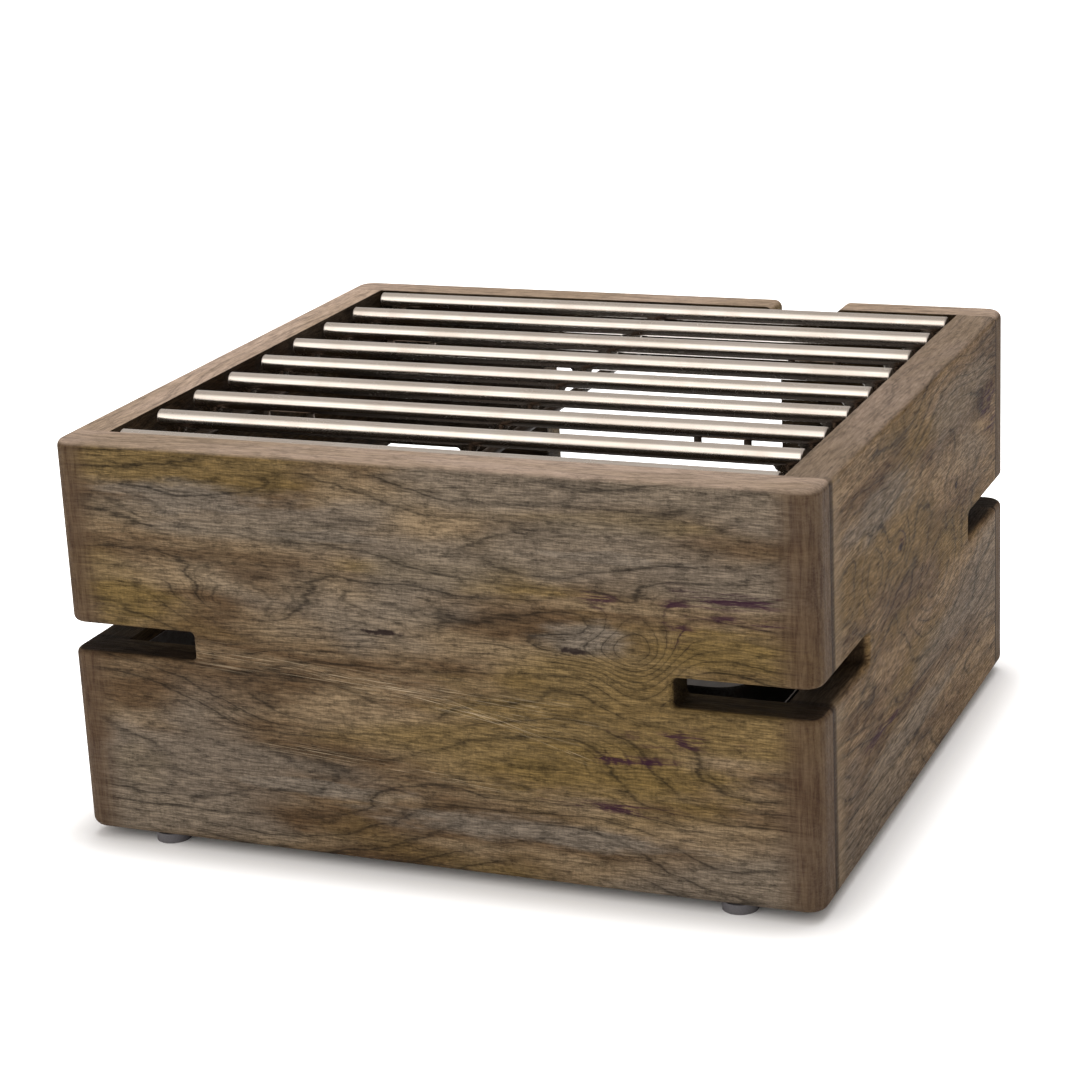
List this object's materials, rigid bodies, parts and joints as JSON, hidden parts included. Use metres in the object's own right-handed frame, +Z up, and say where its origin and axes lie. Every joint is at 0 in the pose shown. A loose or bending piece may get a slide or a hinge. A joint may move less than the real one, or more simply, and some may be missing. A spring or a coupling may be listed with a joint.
{
  "type": "fire pit with grate",
  "caption": "Square timber fire pit surround with corner draught slots, a rear window, a lift-out bar grate, a fire tray and an ash drawer.",
  "frame": {"origin": "on the ground, under the middle of the box", "axes": "+X right, +Y to the back, where the window and the drawer are, +Z up"},
  "size_m": [0.8, 0.74, 0.43],
  "materials": {
    "weathered_wood": "weathered brown-grey, matt",
    "pale_wood": "planed, raw",
    "polished_steel": "stainless, fine brushed",
    "rail_steel": "stainless, satin",
    "fixing_steel": "zinc plated",
    "zinc_sheet": "galvanised sheet",
    "black_steel": "matt black heat paint",
    "grid_iron": "as cast",
    "foot_rubber": "matt black"
  },
  "bodies": {
    "box": {"front_board_upper": "weathered_wood", "front_board_lower": "weathered_wood", "back_board_upper": "weathered_wood", "back_board_lower": "weathered_wood", "left_board_upper": "weathered_wood", "left_board_lower": "weathered_wood", "right_board_upper": "weathered_wood", "right_board_lower": "weathered_wood", "edge_dowels": "pale_wood", "corner_splines": "pale_wood", "grate_rests": "fixing_steel", "rest_screws": "fixing_steel", "base_batten_front": "pale_wood", "base_batten_back": "pale_wood", "base_batten_left": "pale_wood", "base_batten_right": "pale_wood", "batten_screws": "fixing_steel", "base_plate": "zinc_sheet", "tray_legs": "black_steel", "leg_rivets": "fixing_steel", "stand_bar_left": "black_steel", "stand_bar_right": "black_steel", "drawer_runner_left": "zinc_sheet", "drawer_runner_right": "zinc_sheet", "shield_front": "zinc_sheet", "shield_left": "zinc_sheet", "shield_right": "zinc_sheet", "shield_back_left": "zinc_sheet", "shield_back_right": "zinc_sheet", "shield_spacers": "fixing_steel", "shield_screws": "fixing_steel", "foot_pads": "foot_rubber", "foot_screws": "fixing_steel"},
    "grate": {"grate_bar_1": "polished_steel", "grate_bar_2": "polished_steel", "grate_bar_3": "polished_steel", "grate_bar_4": "polished_steel", "grate_bar_5": "polished_steel", "grate_bar_6": "polished_steel", "grate_bar_7": "polished_steel", "grate_bar_8": "polished_steel", "grate_bar_9": "polished_steel", "bar_end_caps": "polished_steel", "left_rail": "rail_steel", "middle_rail": "rail_steel", "right_rail": "rail_steel", "rail_posts": "rail_steel", "lifting_lugs": "rail_steel"},
    "fire_tray": {"fire_tray": "black_steel", "tray_grip_left": "black_steel", "tray_grip_right": "black_steel"},
    "ash_grid": {"ash_grid": "grid_iron"},
    "ash_drawer": {"ash_drawer": "zinc_sheet", "drawer_front": "zinc_sheet", "drawer_handle": "rail_steel", "handle_screws": "fixing_steel"}
  },
  "joints": [
    {"name": "grate_lift", "type": "slide", "parent": "box", "child": "grate", "axis": [0, 0, 1], "range_m": [0, 0.15]},
    {"name": "tray_lift", "type": "slide", "parent": "box", "child": "fire_tray", "axis": [0, 0, 1], "range_m": [0, 0.14]},
    {"name": "grid_lift", "type": "slide", "parent": "fire_tray", "child": "ash_grid", "axis": [0, 0, 1], "range_m": [0, 0.06]},
    {"name": "drawer_slide", "type": "slide", "parent": "box", "child": "ash_drawer", "axis": [0, 1, 0], "range_m": [0, 0.36]}
  ]
}
